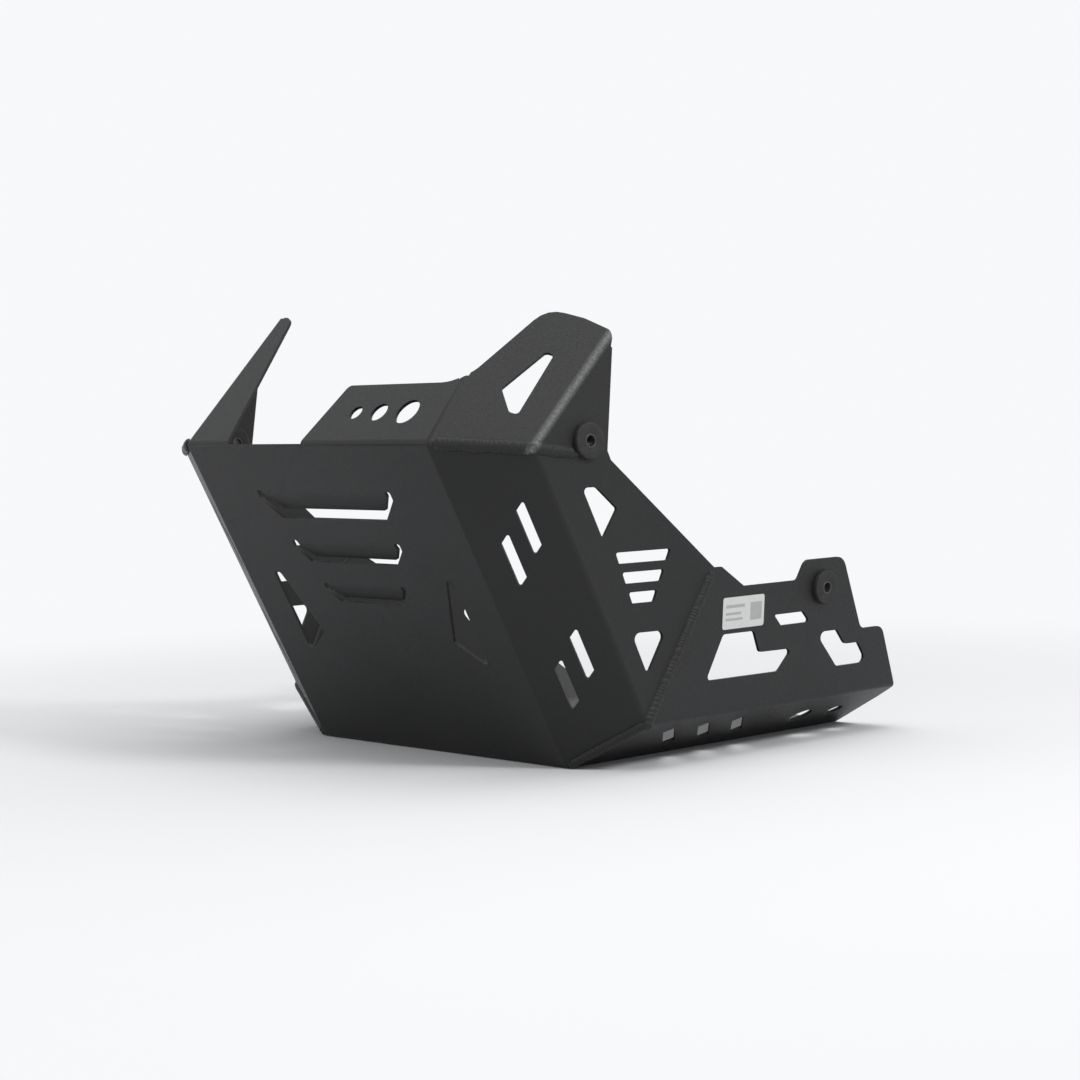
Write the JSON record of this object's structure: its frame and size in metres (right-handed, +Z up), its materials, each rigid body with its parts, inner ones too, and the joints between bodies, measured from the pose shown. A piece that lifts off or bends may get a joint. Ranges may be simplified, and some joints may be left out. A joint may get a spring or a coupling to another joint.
{
  "type": "motorcycle engine guard",
  "caption": "Folded and welded sheet-metal engine guard with louvred front, pierced chamfered sides and rubber-bushed bolt holes.",
  "frame": {"origin": "middle of the plan box at the underside of the floor panel", "axes": "+Z up, +X to the motorcycle's left side, -Y towards the front of the motorcycle"},
  "size_m": [0.3686, 0.3788, 0.2924],
  "materials": {
    "powder_coat": "fine-textured matte black powder coat",
    "bush_rubber": "matte black moulded rubber",
    "sleeve_steel": "black passivated steel",
    "label_film": "satin pale silver film with plain blocks of tone"
  },
  "bodies": {
    "root": {"guard_shell": "powder_coat", "bush_upper_left": "bush_rubber", "bush_upper_right": "bush_rubber", "bush_rear_left": "bush_rubber", "bush_rear_right": "bush_rubber", "sleeve_upper_left": "sleeve_steel", "sleeve_upper_right": "sleeve_steel", "sleeve_rear_left": "sleeve_steel", "sleeve_rear_right": "sleeve_steel", "label": "label_film"}
  },
  "joints": []
}
